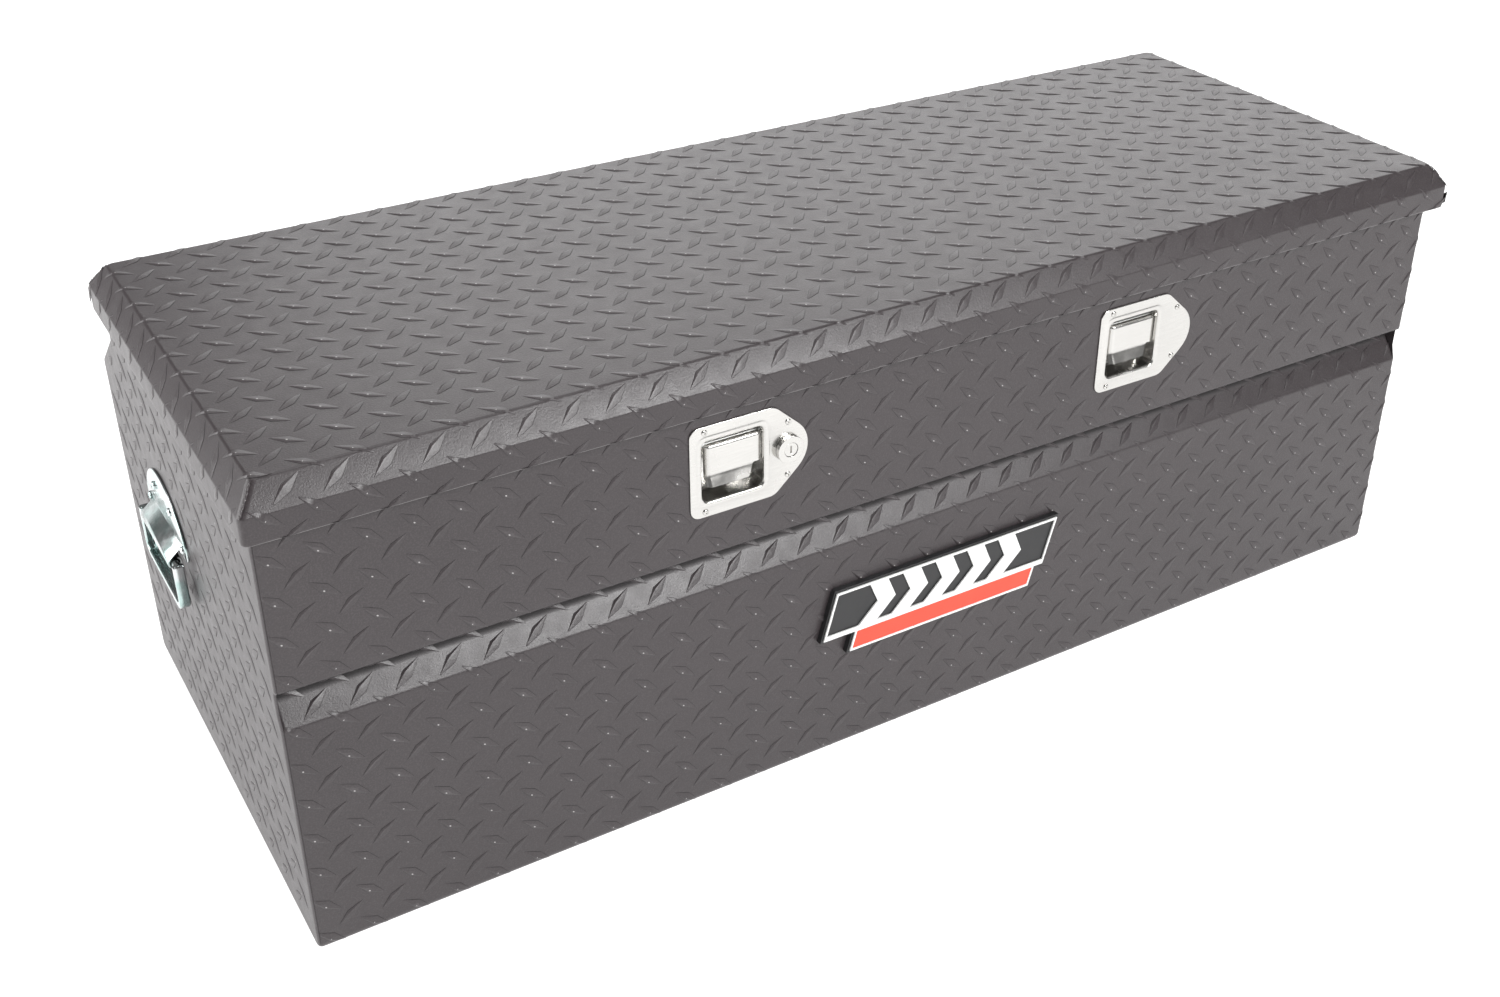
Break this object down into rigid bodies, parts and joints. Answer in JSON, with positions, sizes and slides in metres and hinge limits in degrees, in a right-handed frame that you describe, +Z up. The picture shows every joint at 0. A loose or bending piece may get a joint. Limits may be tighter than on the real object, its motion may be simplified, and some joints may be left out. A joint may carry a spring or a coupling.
{
  "type": "truck tool box",
  "caption": "Long tread-plate utility chest with hinged lid, recessed paddle latches, key lock, swinging end handles and gas struts",
  "frame": {"origin": "middle of the rectangle the chest covers on the ground, at ground level", "axes": "X along the chest, to the right as seen from the front; front towards -Y; +Z up"},
  "size_m": [1.438, 0.587, 0.523],
  "materials": {
    "tread_paint": "grey powder coat over raised tread plate",
    "stainless": "brushed stainless steel",
    "bright_zinc": "bright zinc plating",
    "zinc_steel": "dull zinc-plated steel",
    "strut_black": "gloss black paint",
    "seal_rubber": "matt sponge rubber",
    "badge_black": "satin black plastic",
    "badge_red": "gloss red plastic",
    "badge_white": "gloss white plastic"
  },
  "bodies": {
    "chest": {"front_panel": "tread_paint", "rear_panel": "tread_paint", "left_end_panel": "tread_paint", "right_end_panel": "tread_paint", "floor_panel": "tread_paint", "rim_frame": "tread_paint", "rim_seal": "seal_rubber", "hinge_body_leaf": "zinc_steel", "hinge_pin": "zinc_steel", "lock_housing": "stainless", "badge_plate": "badge_black", "badge_face": "badge_white", "badge_stripe": "badge_red", "latch_dish_left": "stainless", "paddle_pin_left": "zinc_steel", "latch_case_left": "zinc_steel", "handle_plate_left": "bright_zinc", "strut_bracket_body_left": "zinc_steel", "latch_rivet_left_1": "stainless", "latch_rivet_left_2": "stainless", "latch_rivet_left_3": "stainless", "latch_rivet_left_4": "stainless", "handle_rivet_left_1": "bright_zinc", "handle_rivet_left_2": "bright_zinc", "handle_rivet_left_3": "bright_zinc", "handle_rivet_left_4": "bright_zinc", "latch_dish_right": "stainless", "paddle_pin_right": "zinc_steel", "latch_case_right": "zinc_steel", "handle_plate_right": "bright_zinc", "strut_bracket_body_right": "zinc_steel", "latch_rivet_right_1": "stainless", "latch_rivet_right_2": "stainless", "latch_rivet_right_3": "stainless", "latch_rivet_right_4": "stainless", "handle_rivet_right_1": "bright_zinc", "handle_rivet_right_2": "bright_zinc", "handle_rivet_right_3": "bright_zinc", "handle_rivet_right_4": "bright_zinc"},
    "lid": {"lid_shell": "tread_paint", "lid_stiffener": "tread_paint", "hinge_lid_leaf": "zinc_steel", "striker_left": "zinc_steel", "strut_bracket_lid_left": "zinc_steel", "striker_right": "zinc_steel", "strut_bracket_lid_right": "zinc_steel"},
    "lock": {"lock_plug": "stainless", "lock_cam": "zinc_steel"},
    "paddle_body_left": {"paddle_left": "stainless"},
    "bolt_body_left": {"latch_bolt_left": "zinc_steel"},
    "bail_body_left": {"handle_bail_left": "bright_zinc"},
    "cylinder_body_left": {"strut_cylinder_left": "strut_black"},
    "rod_body_left": {"strut_rod_left": "zinc_steel"},
    "paddle_body_right": {"paddle_right": "stainless"},
    "bolt_body_right": {"latch_bolt_right": "zinc_steel"},
    "bail_body_right": {"handle_bail_right": "bright_zinc"},
    "cylinder_body_right": {"strut_cylinder_right": "strut_black"},
    "rod_body_right": {"strut_rod_right": "zinc_steel"}
  },
  "joints": [
    {"name": "lid_hinge", "type": "hinge", "parent": "chest", "child": "lid", "pos_m": [0, 0.2259, 0.465], "axis": [-1, 0, 0], "range_deg": [0, 80]},
    {"name": "paddle_left_hinge", "type": "hinge", "parent": "chest", "child": "paddle_body_left", "pos_m": [-0.245, -0.2665, 0.426], "axis": [-1, 0, 0], "range_deg": [0, 40], "stiffness_Nm_per_rad": 0.3},
    {"name": "bolt_left_slide", "type": "slide", "parent": "chest", "child": "bolt_body_left", "axis": [0, -1, 0], "range_m": [0, 0.01]},
    {"name": "handle_left_swing", "type": "hinge", "parent": "chest", "child": "bail_body_left", "pos_m": [-0.712, 0.082, 0.274], "axis": [0, 1, 0], "range_deg": [0, 95]},
    {"name": "strut_left_swing", "type": "hinge", "parent": "chest", "child": "cylinder_body_left", "pos_m": [-0.655, 0.05, 0.245], "axis": [-1, 0, 0], "range_deg": [0, 25.01]},
    {"name": "strut_left_slide", "type": "slide", "parent": "cylinder_body_left", "child": "rod_body_left", "axis": [0, -0.0196, 0.9998], "range_m": [0, 0.18712]},
    {"name": "paddle_right_hinge", "type": "hinge", "parent": "chest", "child": "paddle_body_right", "pos_m": [0.253, -0.2665, 0.426], "axis": [-1, 0, 0], "range_deg": [0, 40], "stiffness_Nm_per_rad": 0.3},
    {"name": "bolt_right_slide", "type": "slide", "parent": "chest", "child": "bolt_body_right", "axis": [0, -1, 0], "range_m": [0, 0.01]},
    {"name": "handle_right_swing", "type": "hinge", "parent": "chest", "child": "bail_body_right", "pos_m": [0.712, 0.082, 0.274], "axis": [0, -1, 0], "range_deg": [0, 95]},
    {"name": "strut_right_swing", "type": "hinge", "parent": "chest", "child": "cylinder_body_right", "pos_m": [0.655, 0.05, 0.245], "axis": [-1, 0, 0], "range_deg": [0, 25.01]},
    {"name": "strut_right_slide", "type": "slide", "parent": "cylinder_body_right", "child": "rod_body_right", "axis": [0, -0.0196, 0.9998], "range_m": [0, 0.18712]},
    {"name": "lock_turn", "type": "hinge", "parent": "chest", "child": "lock", "pos_m": [-0.183, -0.27, 0.402], "axis": [0, 1, 0], "range_deg": [0, 90]}
  ],
  "couplings": [
    {"joint": "bolt_left_slide", "follows": "paddle_left_hinge", "m_per_rad": 0.014324},
    {"joint": "strut_left_swing", "follows": "lid_hinge", "ratio": 0.31253},
    {"joint": "strut_left_slide", "follows": "lid_hinge", "m_per_rad": 0.13394},
    {"joint": "bolt_right_slide", "follows": "paddle_right_hinge", "m_per_rad": 0.014324},
    {"joint": "strut_right_swing", "follows": "lid_hinge", "ratio": 0.31253},
    {"joint": "strut_right_slide", "follows": "lid_hinge", "m_per_rad": 0.13394}
  ]
}
